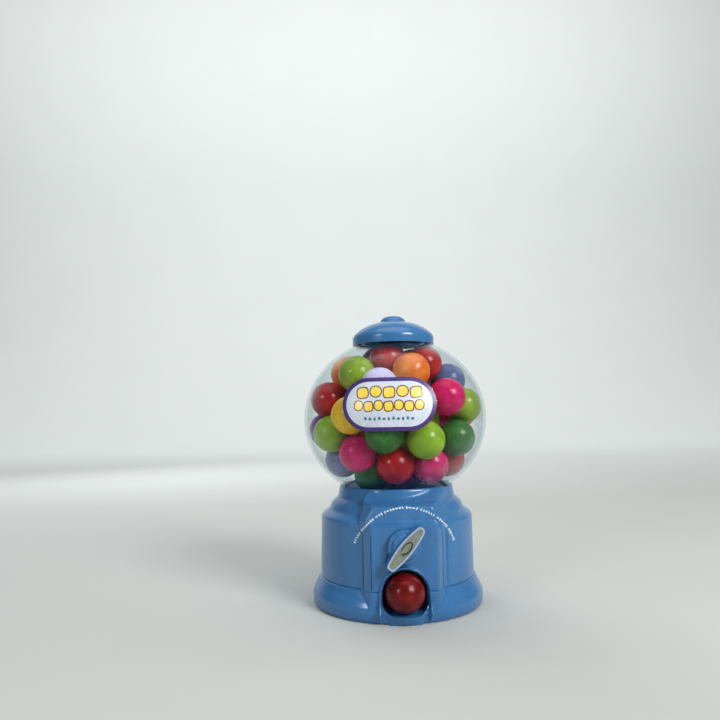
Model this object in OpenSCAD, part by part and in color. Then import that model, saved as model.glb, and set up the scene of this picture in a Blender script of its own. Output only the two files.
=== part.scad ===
// Mini gumball machine: a round moulded base with a turn knob and a chute,
// a clear globe full of gumballs and a lift-off lid.
// Origin: centre of the underside, on the surface it stands on.
// +Z is up and the chute and knob face -Y. Millimetres.

/* [Base] */
// Widest radius of the flared skirt
skirt_r = 41.8; // [41.4:0.1:42.6]
// Radius of the body just above the skirt
body_r = 37.6; // [37.2:0.1:38]
// Height of the skirt's top edge
skirt_h = 13.6; // [13:0.1:14.2]
// Wall thickness of the moulded base
wall = 2; // [1.6:0.1:2.2]
// How far the flat front bay stands out from the axis
bay_y = 38.4; // [38.2:0.1:38.8]
// Half the width of the bay's front face
bay_w = 15; // [14.4:0.1:15.4]

/* [Globe] */
// Outer radius of the globe at its widest
globe_a = 44.7; // [44.5:0.1:45]
// Half the height of the globe's full ellipse
globe_c = 39.9; // [39.8:0.1:40]
// Wall thickness of the globe
globe_wall = 1.2; // [1:0.1:1.4]
// Width of the label on the globe
label_w = 41.4; // [38:0.1:42]
// Height of the label on the globe
label_h = 23.6; // [22:0.1:24]

/* [Lid] */
// Outer radius of the lid's rim
lid_r = 20.1; // [19.9:0.1:20.3]
// Radius of the grip button on top of the lid
button_r = 6.6; // [6.4:0.1:7]

/* [Gumballs] */
// Diameter of one gumball
ball_d = 17.6; // [16.8:0.1:17.6]
// Rounds of pushing apart that settle the gumballs in the globe
settle = 260; // [200:20:400]

/* [Knob and mechanism] */
// Length of the knob's handle
handle_l = 22.8; // [21:0.1:22.8]
// Width of the handle at its middle
handle_w = 6.7; // [6.6:0.1:7.4]
// Angle of the handle above the horizontal at rest
handle_tilt = 50; // [30:1:60]
// Height of the knob's shaft above the table
shaft_z = 33.8; // [33.8:0.1:34]
// Radius of the shaft
shaft_r = 2.5; // [2.4:0.1:2.6]
// Radial running clearance of the shaft in its bush
run_gap = 0.05; // [0.03:0.01:0.08]

/* [Hidden] */
$fn = 96;

ball_r = ball_d / 2;
globe_z = 89.4;            // height of the globe's centre
seat_z = 50;               // ledge that carries the hopper plate
drop_y = -13.5;            // axis of the hopper outlet and of the drop
cup_ri = 9;                // rotor cup, inside radius
cup_ro = 10.1;             // rotor cup, outside radius
house_ri = 10.6;           // bore of the dispenser housing
cup_y0 = -23.6;            // front end of the rotor cup
cup_y1 = -3.4;             // back end of the rotor cup
open_r = 10;               // half width of the chute opening
open_top = 23.4;           // top of the chute opening
tray_y = -33.4;            // centre of the half-round tray
tray_r = 11.6;             // radius of the tray
floor_z = 4.25;            // tray floor
boss_p = 23.3;             // bottom screws stand at +-boss_p, +-boss_p
ear_x = 16.5;              // housing screws
hop_p = [12.5, 17.5];      // hopper screws stand at +-x, +y

// ---------- shared shapes ----------

// cylinder lying along Y, from y0 to y1
module ycyl(r, y0, y1, z = 0, x = 0) {
  translate([x, y1, z]) rotate([90, 0, 0]) cylinder(r = r, h = y1 - y0);
}

// shape drawn in the XZ plane and given a depth from y0 to y1
module yextrude(y0, y1) {
  translate([0, y1, 0]) rotate([90, 0, 0]) linear_extrude(y1 - y0) children();
}

// outline drawn in the YZ plane and given a width from -w to w
module xextrude(w) {
  translate([-w, 0, 0]) rotate([90, 0, 90]) linear_extrude(2 * w) children();
}

// arch: half circle of radius r on straight sides that go down to z0
module arch(r, z0) {
  translate([0, open_top - open_r]) circle(r = r);
  translate([-r, z0]) square([2 * r, open_top - open_r - z0]);
}

// pan-head screw, head at z = 0 and shank up to z = l
module screw(l, r = 1.1, head = 2.1) {
  difference() {
    union() {
      translate([0, 0, -1.5]) cylinder(r = head, h = 1.5, $fn = 40);
      cylinder(r = r, h = l, $fn = 32);
    }
    for (a = [0, 90]) rotate(a) translate([-1.3, -0.3, -1.7]) cube([2.6, 0.6, 1]);
  }
}

// ellipse points from angle t0 to t1 about the globe's centre
function ell(a, c, t0, t1, n) = [for (i = [0:n]) let (t = t0 + (t1 - t0) * i / n)
  [a * cos(t), globe_z + c * sin(t)]];

// ---------- base ----------

// half outline of the round base, from the table up to the ring under the globe
base_out = [[0, 0], [skirt_r - 1.5, 0], [skirt_r - 0.7, 0.6], [skirt_r - 0.2, 2.2], [skirt_r, 4.4],
  [skirt_r - 0.3, 6.6], [skirt_r - 1.2, 8.7], [skirt_r - 2.4, 10.8], [body_r + 0.8, skirt_h - 0.4],
  [body_r + 0.4, skirt_h], [body_r, skirt_h], [body_r - 0.6, 42.6], [body_r - 0.9, 43.3],
  [body_r - 1.5, 43.9], [body_r - 4.2, 45.9], [body_r - 4.7, 46.5], [body_r - 5.1, 47.6],
  [body_r - 5.8, 49], [body_r - 6.8, 50.2], [body_r - 8.1, 51.2], [28.8, 51.7], [28.6, 52.4],
  [28.2, 54.6], [27.9, 56.6], [27.6, 57.2], [27.1, 57.35], [26.4, 57], [0, 56.4]];

// half outline of the hollow inside the base
base_in = [[0, -1], [skirt_r - 2.9, -1], [skirt_r - wall - 0.2, 4.4], [skirt_r - wall - 1.4, 8.7],
  [body_r - wall, skirt_h - 0.6], [body_r - wall - 0.6, 42], [body_r - wall - 2.4, 44],
  [body_r - wall - 4.8, 46], [body_r - wall - 5.6, 48], [0, 48]];

// plan of the front bay, grown by g
module bay_plan(g, w, y) {
  polygon([[-w - 4 - g, -25], [-w - 3.9 - g, 6 - y], [-w - g * 0.7, -y - g],
           [w + g * 0.7, -y - g], [w + 3.9 + g, 6 - y], [w + 4 + g, -25]]);
}

module base_shell() {
  color([0.24, 0.47, 0.74]) difference() {
    union() {
      difference() {
        union() {
          rotate_extrude() polygon(base_out);
          // bay: main face, a slightly prouder foot in line with the skirt, and the stepped-back top
          translate([0, 0, 6.5]) linear_extrude(37.3) bay_plan(0, bay_w, bay_y);
          intersection() {
            linear_extrude(skirt_h) bay_plan(0.5, bay_w, bay_y);
            rotate_extrude() polygon([[0, 0], [skirt_r - 2, 0], [skirt_r - 1, 2], [skirt_r - 0.6, 4.4], [skirt_r - 0.6, 20], [0, 20]]);
          }
          translate([0, 0, 20]) linear_extrude(30.3) bay_plan(0, bay_w - 0.4, bay_y - 2.9);
          xextrude(bay_w - 0.6) polygon([[-20, 50.3], [-35, 50.3], [-33.2, 51.3], [-30.5, 51.9], [-28, 53.2], [-20, 53.2]]);
        }
        rotate_extrude() polygon(base_in);
        translate([0, 0, 13]) linear_extrude(29) bay_plan(-2, bay_w, bay_y);
      }
      // tray, a half-round scoop that stands out of the skirt
      intersection() {
        translate([0, tray_y, 0]) rotate_extrude() polygon([[0, 0], [8.6, 0], [9.7, 1.2],
          [11, 3.2], [tray_r - 0.1, 4.1], [tray_r, 4.7], [tray_r - 0.3, 5.3], [tray_r - 0.8, 5.4], [0, 5.4]]);
        translate([-20, -60, 0]) cube([40, 25.5, 20]);
      }
      // raised rim round the chute opening, deeper where it meets the tray
      intersection() {
        yextrude(-46, -34.5) arch(open_r + 1.5, 2);
        xextrude(20) polygon([[-34.5, 2], [-41.4, 2], [-43.2, 5.4], [-41.7, 7.5], [-40.5, 11],
          [-39.6, 14], [-39.4, 28], [-34.5, 28]]);
      }
      // bosses for the bottom screws
      for (x = [-1, 1], y = [-1, 1]) translate([x * boss_p, y * boss_p, 2.2]) cylinder(r = 3.1, h = 22, $fn = 48);
    }
    // chute opening and tray floor
    yextrude(-60, -30) arch(open_r, floor_z);
    translate([0, tray_y, floor_z]) cylinder(r = tray_r - 1.2, h = 4);
    // hole for the shaft's bush
    ycyl(4, -45, -30, shaft_z);
    // seat of the hopper plate and globe, and the way through for the housing
    translate([0, 0, seat_z]) cylinder(r = 25.6, h = 20);
    translate([0, 0, 40]) cylinder(r = 19.5, h = 20);
    translate([-13.5, -24.4, 40]) cube([27, 24.4, 20]);
    // holes for the screws
    for (x = [-1, 1], y = [-1, 1]) translate([x * boss_p, y * boss_p, 0]) cylinder(r = 1.15, h = 13, $fn = 32);
    for (x = [-1, 1]) {
      translate([x * ear_x, drop_y, 40]) cylinder(r = 1.2, h = 15, $fn = 32);
      translate([x * hop_p[0], hop_p[1], 40]) cylinder(r = 1.2, h = 15, $fn = 32);
    }
  }
}

module bottom_cover() {
  color([0.2, 0.4, 0.66]) difference() {
    union() {
      cylinder(r = skirt_r - 3.3, h = 2);
      // stiffening ring on the inside
      translate([0, 0, 2]) difference() {
        cylinder(r = 18, h = 1.2);
        translate([0, 0, -1]) cylinder(r = 16.4, h = 4);
      }
    }
    // room for the tray and for the chute's feet
    translate([-12.1, -60, -1]) cube([24.2, 25.8, 6]);
    translate([-11, -32, 2]) cube([22, 32, 6]);
    for (x = [-1, 1], y = [-1, 1]) translate([x * boss_p, y * boss_p, -1]) {
      cylinder(r = 1.2, h = 5, $fn = 32);
      cylinder(r = 2.4, h = 2.2, $fn = 40);
    }
  }
}

module bottom_screws() {
  color("silver") for (x = [-1, 1], y = [-1, 1]) translate([x * boss_p, y * boss_p, 1.2])
    difference() {
      union() {
        translate([0, 0, -1]) cylinder(r = 2.2, h = 1, $fn = 40);
        cylinder(r = 1.1, h = 9, $fn = 32);
      }
      for (a = [0, 90]) rotate(a) translate([-1.3, -0.3, -1.2]) cube([2.6, 0.6, 0.8]);
    }
}

// ---------- globe, label and lid ----------

module globe() {
  ai = globe_a - globe_wall;
  ci = globe_c - globe_wall;
  color([0.86, 0.93, 0.96, 0.35]) rotate_extrude($fn = 144) polygon(concat(
    [[24.1, 52], [25.3, 52]],
    ell(globe_a, globe_c, -acos(25.3 / globe_a), acos(17.6 / globe_a), 30),
    [[17.6, 129.5], [16.3, 129.5]],
    ell(ai, ci, acos(16.3 / ai), -acos(24.1 / ai), 30)));
}

// body of the globe's outer surface, grown by g, between two heights
module globe_skin(g) {
  rotate_extrude($fn = 144) polygon(concat([[0, 78]],
    ell(globe_a + g, globe_c + g, -17, 42, 20), [[0, 119]]));
}

module globe_label() {
  color([0.27, 0.14, 0.52]) intersection() {
    difference() { globe_skin(0.35); globe_skin(0.05); }
    rotate(-8) yextrude(-60, -10) {
      translate([-(label_w - label_h) / 2, 96.1 - label_h / 2]) square([label_w - label_h, label_h]);
      for (x = [-1, 1]) translate([x * (label_w - label_h) / 2, 96.1]) circle(r = label_h / 2);
    }
  }
}

module lid() {
  color([0.24, 0.47, 0.74]) rotate_extrude() polygon([[18.4, 126.15], [lid_r - 0.3, 125.5], [lid_r, 125.8],
    [lid_r, 129.2], [lid_r - 0.3, 130.1], [lid_r - 1.1, 131.2], [lid_r - 2.5, 132.5], [lid_r - 4.4, 133.8],
    [lid_r - 6.6, 135], [11.5, 135.8], [9.5, 136.4], [8, 136.75], [button_r + 0.1, 137], [button_r - 0.2, 137.4],
    [button_r - 0.7, 138.3], [button_r - 1.6, 139.2], [button_r - 2.9, 139.85], [button_r - 4.5, 140.12], [0, 140.2],
    // inside
    [0, 135.4], [5, 135.1], [9, 134.3], [12, 132.9], [14.2, 131.2], [14.2, 126.9], [14.6, 126.5], [15.5, 126.5],
    [15.9, 126.9], [15.9, 129.6], [17.9, 129.6], [18.1, 128.4]]);
}

// ---------- hopper and dispenser ----------

module hopper_plate() {
  color([0.27, 0.5, 0.76]) difference() {
    union() {
      translate([0, 0, seat_z]) cylinder(r = 25.4, h = 2);
      translate([0, 0, seat_z]) cylinder(r = 23.8, h = 9);
      translate([0, drop_y, 47.9]) cylinder(r = 10.9, h = 5);
    }
    // sloping floor that falls to the outlet from every side
    translate([0, drop_y, 52.6]) cylinder(r1 = 9.5, r2 = 9.5 + 45, h = 8);
    translate([0, drop_y, 40]) cylinder(r = 9.5, h = 20);
    for (x = [-1, 1]) {
      translate([x * ear_x, drop_y, 47]) cylinder(r = 1.15, h = 5.6, $fn = 32);
      translate([x * hop_p[0], hop_p[1], 47]) cylinder(r = 1.15, h = 7.5, $fn = 32);
    }
  }
}

module hopper_screws() {
  color("silver") for (x = [-1, 1]) translate([x * hop_p[0], hop_p[1], 48]) screw(6);
}

module dispenser_housing() {
  color([0.88, 0.9, 0.92]) difference() {
    union() {
      translate([-12.6, -25, 28.6]) cube([25.2, 23, 19.3]);
      for (x = [-1, 1]) translate([x * ear_x, drop_y, 44.9]) {
        cylinder(r = 3.6, h = 3, $fn = 48);
        translate([x > 0 ? -5 : 0, -3.6, 0]) cube([5, 7.2, 3]);
      }
    }
    // bore for the rotor cup, open below
    ycyl(house_ri, cup_y0 - 0.3, cup_y1 + 0.3, shaft_z);
    // throat from the hopper
    translate([0, drop_y, 40]) cylinder(r = 9.5, h = 20);
    // holes for the rotor's front boss and back pin
    ycyl(4.6, -30, -20, shaft_z);
    ycyl(2, -5, 0, shaft_z);
    for (x = [-1, 1]) translate([x * ear_x, drop_y, 40]) cylinder(r = 1.2, h = 15, $fn = 32);
  }
}

module housing_screws() {
  color("silver") for (x = [-1, 1]) translate([x * ear_x, drop_y, 44.9]) screw(7.4);
}

module rotor_cup() {
  color([0.95, 0.95, 0.93]) difference() {
    union() {
      ycyl(cup_ro, cup_y0, cup_y1, shaft_z);
      // front boss on the shaft, and the back pin
      ycyl(4.2, -28.6, cup_y0, shaft_z);
      ycyl(1.95, cup_y1, -1.6, shaft_z);
    }
    // pocket for one gumball, open below at rest
    ycyl(cup_ri, cup_y0 + 1.1, cup_y1 - 1.1, shaft_z);
    translate([-15, cup_y0 + 1.1, shaft_z - 20]) cube([30, cup_y1 - cup_y0 - 2.2, 20]);
    // D-shaped socket for the shaft
    difference() {
      ycyl(shaft_r + 0.02, -29, -24, shaft_z);
      translate([-5, -30, shaft_z + 1.72]) cube([10, 10, 5]);
    }
  }
}

// ---------- knob ----------

// half width of the handle at distance u from its middle
function half_w(u) = handle_w / 2 * (1 - 0.44 * pow(abs(u) / (handle_l / 2), 1.9));
module handle_outline(g) {
  e = handle_l / 2;
  u1 = e - half_w(e) * 0.9;
  intersection() {
    union() {
      polygon(concat([for (i = [0:16]) let (u = -e + (u1 + e) * i / 16) [u, -half_w(u) - g]],
                     [for (i = [16:-1:0]) let (u = -e + (u1 + e) * i / 16) [u, half_w(u) + g]]));
      translate([u1, 0]) circle(r = half_w(u1) + g, $fn = 48);
    }
    translate([-e - g, -10]) square([2 * e + 4, 20]);
  }
}

module knob() {
  color([0.24, 0.47, 0.74]) difference() {
    union() {
      ycyl(7.5, -41.9, -39, shaft_z);
      translate([0, 0, shaft_z]) yextrude(-45.7, -41) rotate(handle_tilt) handle_outline(0);
      ycyl(5.4, -43.2, -41, shaft_z);
    }
    // D-shaped bore for the shaft, and the recess for its screw
    difference() {
      ycyl(shaft_r + 0.02, -43, -30, shaft_z);
      translate([-5, -45, shaft_z + 1.72]) cube([10, 20, 5]);
    }
    ycyl(1.15, -46, -40, shaft_z);
    ycyl(2.3, -46, -44.1, shaft_z);
  }
}

module knob_label() {
  color([0.66, 0.72, 0.6]) translate([0, 0, shaft_z]) yextrude(-46, -45.7)
    rotate(handle_tilt) handle_outline(-0.25);
}

module knob_screw() {
  color("silver") translate([0, -44.1, shaft_z]) rotate([-90, 0, 0]) screw(7, 1, 2.15);
}

module knob_shaft() {
  color([0.75, 0.76, 0.78]) difference() {
    ycyl(shaft_r, -43, -24.1, shaft_z);
    // flat that drives the knob and the rotor
    translate([-5, -44, shaft_z + 1.7]) cube([10, 5.1, 5]);
    translate([-5, -28.7, shaft_z + 1.7]) cube([10, 6, 5]);
    // groove for the clip
    difference() {
      ycyl(4, -33.1, -32.3, shaft_z);
      ycyl(shaft_r - 0.5, -33.1, -32.3, shaft_z);
    }
    ycyl(1.05, -44, -36.5, shaft_z);
  }
}

module retaining_clip() {
  color([0.6, 0.6, 0.62]) difference() {
    ycyl(4.4, -33, -32.4, shaft_z);
    ycyl(shaft_r - 0.45, -34, -32, shaft_z);
    translate([-1.4, -34, shaft_z - 6]) cube([2.8, 3, 6]);
    for (a = [40, 140]) translate([0, 0, shaft_z]) rotate([0, a, 0]) translate([0, 0, 0]) ycyl(0.7, -34, -32, 3.4);
  }
}

module shaft_bush() {
  color([0.93, 0.93, 0.9]) difference() {
    union() {
      ycyl(3.95, -bay_y, -33.5, shaft_z);
      ycyl(5.6, 2.02 - bay_y, -34.6, shaft_z);
    }
    ycyl(shaft_r + run_gap, -45, -30, shaft_z);
  }
}

module chute_ramp() {
  // floor line: high under the drop, low at the tray
  pts = [[-34.3, 4.5], [-28, 4.9], [drop_y, 6.4], [-3.5, 7.6]];
  color([0.26, 0.5, 0.76]) union() {
    xextrude(11.2) polygon([[-34.3, 3.3], [-34.3, pts[0][1]], pts[1], pts[2], pts[3], [-3.5, 22.8], [-2.3, 22.8],
      [-2.3, 6.3], [drop_y, 5.2], [-28, 3.7]]);
    for (x = [-1, 1]) translate([x * 10.6, 0, 0]) xextrude(0.6)
      polygon([[-34.3, 3.3], [-34.3, 16.4], [-31, 22.8], [-2.3, 22.8], [-2.3, 6.3], [drop_y, 5.2], [-28, 3.7]]);
    // feet on the bottom cover
    for (x = [-1, 1], y = [[-18, 5.4], [-6, 6.8]]) translate([x * 8.4 - 0.6, y[0], 2]) cube([1.2, 5, y[1] - 2]);
  }
}

// ---------- gumballs ----------

palette = ["red", "orange", "yellow", "lime", "green", "pink", "white", "blue", "purple"];
tint = [[0.75, 0.05, 0.08], [0.93, 0.4, 0.06], [0.95, 0.75, 0.1], [0.55, 0.75, 0.12], [0.12, 0.5, 0.14],
        [0.85, 0.12, 0.35], [0.86, 0.84, 0.95], [0.25, 0.35, 0.62], [0.4, 0.16, 0.52]];

// gumballs that lie against the glass at the front: x, y, z and colour
front = [
  [-33, -4, 100, "red"], [-24, 0, 111, "orange"], [-17, -15, 113, "lime"], [-10, -25, 108, "white"],
  [-8, 8, 119, "purple"], [-4, -8, 120, "red"], [7, -19, 115, "orange"], [20, -2, 115, "red"],
  [26, 2, 108, "blue"], [23, -24, 98, "pink"], [33, -7, 93, "lime"], [-23, -25, 91, "yellow"],
  [-33, -4, 80, "lime"], [-7, -32, 81, "green"], [13, -31, 81, "lime"], [28, -14, 77, "green"],
  [-19, -22, 74, "pink"], [-2, -23, 68, "red"], [15, -15, 66, "pink"], [9, -4, 62, "purple"],
  [-24, 2, 69, "blue"], [-10, -6, 62, "green"], [24, 1, 68, "red"], [2, -34, 96, "yellow"]];

// the rest fill the back and the core in level rings: height, balls at the back wall, balls in the core
levels = [[66, 3, 0], [78, 5, 3], [91, 5, 4], [104, 5, 3], [117, 1, 0]];
function wall_r(z) = (globe_a - globe_wall - ball_r) * sqrt(max(0, 1 - pow((z - globe_z) / (globe_c - globe_wall - ball_r), 2)));
rest = [for (k = [0:len(levels) - 1]) let (l = levels[k], n = l[1], m = l[2], r = wall_r(l[0])) each concat(
  [for (j = [0:1:n - 1]) let (a = 8 + 164 * (j + 0.5) / n) [r * cos(a), r * sin(a), l[0], palette[(k * 5 + j * 4) % 9]]],
  [for (j = [0:1:m - 1]) let (a = 360 * j / m + 20 * k + 90) [13.5 * cos(a), 13.5 * sin(a) + 3, l[0], palette[(k * 7 + j * 2 + 3) % 9]]])];
balls = concat(front, rest);
n_balls = len(balls);
n_front = len(front);

// keep a gumball's centre inside the glass and above the hopper's floor
function keep_in(p) = let (
    a = globe_a - globe_wall - ball_r - 0.15, c = globe_c - globe_wall - ball_r - 0.15,
    q = norm([p[0] / a, p[1] / a, (p[2] - globe_z) / c]),
    e = q > 1 ? [p[0] / q, p[1] / q, globe_z + (p[2] - globe_z) / q] : p,
    d = norm([e[0], e[1] - drop_y]))
  [e[0], e[1], max(e[2], 53 + ball_r * 1.02 + 0.178 * max(0, d - 9.5))];

// push from the neighbours that are too close
function push(s, i, gap) = let (d = [for (j = [0:len(s) - 1]) if (j != i) let (v = s[i] - s[j], l = norm(v)) if (l < gap) v / l * (gap - l)])
  len(d) == 0 ? [0, 0, 0] : [for (k = [0:2]) [for (q = d) q[k]] * [for (q = d) 0.5]];

// one round: push apart, a little weight, and the front ones drift back to their places
function round_(s, home, t) = [for (i = [0:len(s) - 1]) keep_in(s[i] + push(s, i, ball_d + 0.16)
  + (t > 0 && i < n_front ? (home[i] - s[i]) * 0.25 * t : [0, 0, 0]) - [0, 0, i < n_front ? 0 : 0.3 * t])];
function settled(s, home, k) = k <= 0 ? s : settled(round_(s, home, max(0, (k - settle * 0.5) / (settle * 0.5))), home, k - 1);

module gumballs(name) {
  home = [for (b = balls) [b[0], b[1], b[2]]];
  s = settled(home, home, settle);
  for (i = [0:n_balls - 1]) if (balls[i][3] == name) translate(s[i]) sphere(r = ball_r, $fn = 48);
}

module gumballs_red() { color(tint[0]) gumballs("red"); }
module gumballs_orange() { color(tint[1]) gumballs("orange"); }
module gumballs_yellow() { color(tint[2]) gumballs("yellow"); }
module gumballs_lime() { color(tint[3]) gumballs("lime"); }
module gumballs_green() { color(tint[4]) gumballs("green"); }
module gumballs_pink() { color(tint[5]) gumballs("pink"); }
module gumballs_white() { color(tint[6]) gumballs("white"); }
module gumballs_blue() { color(tint[7]) gumballs("blue"); }
module gumballs_purple() { color(tint[8]) gumballs("purple"); }

// the gumball that has rolled out into the tray
module dispensed_gumball() {
  color([0.68, 0.03, 0.05]) translate([0, -39, floor_z + 0.3 + ball_r]) sphere(r = ball_r, $fn = 64);
}

base_shell();
bottom_cover();
bottom_screws();
globe();
globe_label();
lid();
hopper_plate();
hopper_screws();
dispenser_housing();
housing_screws();
shaft_bush();
knob();
knob_label();
knob_screw();
knob_shaft();
retaining_clip();
rotor_cup();
chute_ramp();
gumballs_red();
gumballs_orange();
gumballs_yellow();
gumballs_lime();
gumballs_green();
gumballs_pink();
gumballs_white();
gumballs_blue();
gumballs_purple();
dispensed_gumball();
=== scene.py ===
import math

import bmesh
import bpy
import numpy as np
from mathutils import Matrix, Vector


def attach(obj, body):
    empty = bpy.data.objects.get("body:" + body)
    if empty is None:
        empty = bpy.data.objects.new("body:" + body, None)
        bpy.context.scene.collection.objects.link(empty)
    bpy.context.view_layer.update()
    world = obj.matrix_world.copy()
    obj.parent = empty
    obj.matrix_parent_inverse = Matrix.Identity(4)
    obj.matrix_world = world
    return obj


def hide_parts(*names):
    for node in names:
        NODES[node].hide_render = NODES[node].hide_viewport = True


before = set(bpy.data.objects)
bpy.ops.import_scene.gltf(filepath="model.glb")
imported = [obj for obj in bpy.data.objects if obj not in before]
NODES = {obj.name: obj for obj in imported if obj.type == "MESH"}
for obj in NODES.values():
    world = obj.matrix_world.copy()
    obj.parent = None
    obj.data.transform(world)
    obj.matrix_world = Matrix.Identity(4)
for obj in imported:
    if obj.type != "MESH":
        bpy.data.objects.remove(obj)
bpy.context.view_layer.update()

MM = 0.001

# ------------------------------------------------------------------ helpers


def smin(a, b, k):
    h = np.clip(0.5 + 0.5 * (b - a) / k, 0, 1)
    return b * (1 - h) + a * h - k * h * (1 - h)


def smax(a, b, k):
    return -smin(-a, -b, k)


def step(a, b, x):
    t = np.clip((x - a) / (b - a), 0, 1)
    return t * t * (3 - 2 * t)


def blur(y, n):
    # moving smooth of an evenly sampled curve, ends held
    k = np.exp(-0.5 * (np.arange(-3 * n, 3 * n + 1) / n) ** 2)
    k /= k.sum()
    p = np.pad(y, 3 * n, mode="edge")
    return np.convolve(p, k, mode="valid")


def sharpen(me, angle=32):
    # smooth faces, with the edges steeper than the angle kept crisp
    bm = bmesh.new()
    bm.from_mesh(me)
    lim = math.radians(angle)
    for f in bm.faces:
        f.smooth = True
    for e in bm.edges:
        e.smooth = not (len(e.link_faces) != 2 or e.calc_face_angle(0) > lim)
    bm.to_mesh(me)
    bm.free()


def make(name, verts, faces, mats, angle=32, index=None):
    # verts in millimetres
    me = bpy.data.meshes.new(name)
    me.from_pydata([tuple(v) for v in np.asarray(verts, float) * MM], [], [tuple(int(i) for i in f) for f in faces])
    if not isinstance(mats, (list, tuple)):
        mats = [mats]
    for m in mats:
        me.materials.append(m)
    if index is not None:
        me.polygons.foreach_set("material_index", np.asarray(index, np.int32))
    me.validate()
    bm = bmesh.new()
    bm.from_mesh(me)
    bmesh.ops.recalc_face_normals(bm, faces=bm.faces)
    bm.to_mesh(me)
    bm.free()
    sharpen(me, angle)
    ob = bpy.data.objects.new(name, me)
    bpy.context.scene.collection.objects.link(ob)
    return ob


def applied(ob):
    # the object's mesh with its modifiers applied
    dg = bpy.context.evaluated_depsgraph_get()
    new = bpy.data.meshes.new_from_object(ob.evaluated_get(dg))
    ob.modifiers.clear()
    ob.data = new
    return ob


def boolean(ob, other, op="DIFFERENCE"):
    m = ob.modifiers.new("cut", "BOOLEAN")
    m.operation = op
    m.solver = "EXACT"
    m.object = other
    applied(ob)
    bpy.data.objects.remove(other)
    return ob


def grid_faces(rows, cols, wrap=True, base=0):
    f = []
    n = cols if wrap else cols - 1
    for r in range(rows - 1):
        for c in range(n):
            d = (c + 1) % cols
            f.append((base + r * cols + c, base + r * cols + d, base + (r + 1) * cols + d, base + (r + 1) * cols + c))
    return f


def revolve(profile, n=128, closed=True):
    # profile of (radius, z) points turned about Z; a radius of 0 makes one point
    prof = [(max(r, 0.0), z) for r, z in profile]
    verts, rings = [], []
    for r, z in prof:
        if r < 1e-6:
            rings.append([len(verts)])
            verts.append((0, 0, z))
        else:
            rings.append(list(range(len(verts), len(verts) + n)))
            verts += [(r * math.sin(2 * math.pi * i / n), -r * math.cos(2 * math.pi * i / n), z) for i in range(n)]
    faces = []
    pairs = list(zip(rings, rings[1:] + rings[:1] if closed else rings[1:]))
    for a, b in pairs:
        if len(a) == 1 and len(b) == 1:
            continue
        for i in range(n):
            j = (i + 1) % n
            if len(a) == 1:
                faces.append((a[0], b[j], b[i]))
            elif len(b) == 1:
                faces.append((a[i], a[j], b[0]))
            else:
                faces.append((a[i], a[j], b[j], b[i]))
    return verts, faces


def lathe_y(profile, zc, n=96):
    # profile of (radius, y) points turned about the shaft's axis
    v, f = revolve(profile, n)
    return [(x, z, zc - y) for x, y, z in v], f


def rounded(points, radii, steps=6):
    # polyline with its corners rounded by arcs (quadratic curves)
    out = []
    n = len(points)
    for i, p in enumerate(points):
        r = radii[i] if i < len(radii) else 0
        if r <= 0 or i in (0, n - 1):
            out.append(tuple(p))
            continue
        p = np.array(p, float)
        a, b = np.array(points[i - 1], float), np.array(points[i + 1], float)
        la, lb = np.linalg.norm(a - p), np.linalg.norm(b - p)
        s, e = p + (a - p) / la * min(r, la * 0.49), p + (b - p) / lb * min(r, lb * 0.49)
        for k in range(steps + 1):
            t = k / steps
            out.append(tuple((1 - t) ** 2 * s + 2 * t * (1 - t) * p + t * t * e))
    return out


def star(outline, rings, to3, lo, hi, centre=(0, 0)):
    # closed thin patch: a star-shaped outline filled by rings, mapped on a surface at offsets lo and hi
    o = np.array(outline, float)
    c = np.array(centre, float)
    m = len(o)
    verts, faces = [], []

    def layer(off):
        base = len(verts)
        verts.append(to3(c[0], c[1], off))
        for k in range(1, rings + 1):
            for p in c + (o - c) * (k / rings):
                verts.append(to3(p[0], p[1], off))
        return base

    a = layer(hi)
    b = layer(lo)
    for base, flip in ((a, False), (b, True)):
        for i in range(m):
            j = (i + 1) % m
            tri = (base, base + 1 + i, base + 1 + j)
            faces.append(tri[::-1] if flip else tri)
            for k in range(rings - 1):
                q = (base + 1 + k * m + i, base + 1 + (k + 1) * m + i, base + 1 + (k + 1) * m + j, base + 1 + k * m + j)
                faces.append(q[::-1] if flip else q)
    last = 1 + (rings - 1) * m
    for i in range(m):
        j = (i + 1) % m
        faces.append((a + last + i, b + last + i, b + last + j, a + last + j))
    return verts, faces


def stadium(w, h, n=24):
    r = h / 2
    d = w / 2 - r
    pts = []
    for k in range(n + 1):
        t = -math.pi / 2 + math.pi * k / n
        pts.append((d + r * math.cos(t), r * math.sin(t)))
    for k in range(1, 8):
        pts.append((d - 2 * d * k / 8, r))
    for k in range(n + 1):
        t = math.pi / 2 + math.pi * k / n
        pts.append((-d + r * math.cos(t), r * math.sin(t)))
    for k in range(1, 8):
        pts.append((-d + 2 * d * k / 8, -r))
    return pts


def disc(x, y, r, n=20, sx=1.0):
    return [(x + r * sx * math.cos(2 * math.pi * k / n), y + r * math.sin(2 * math.pi * k / n)) for k in range(n)]


# ------------------------------------------------------------------ materials


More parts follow.
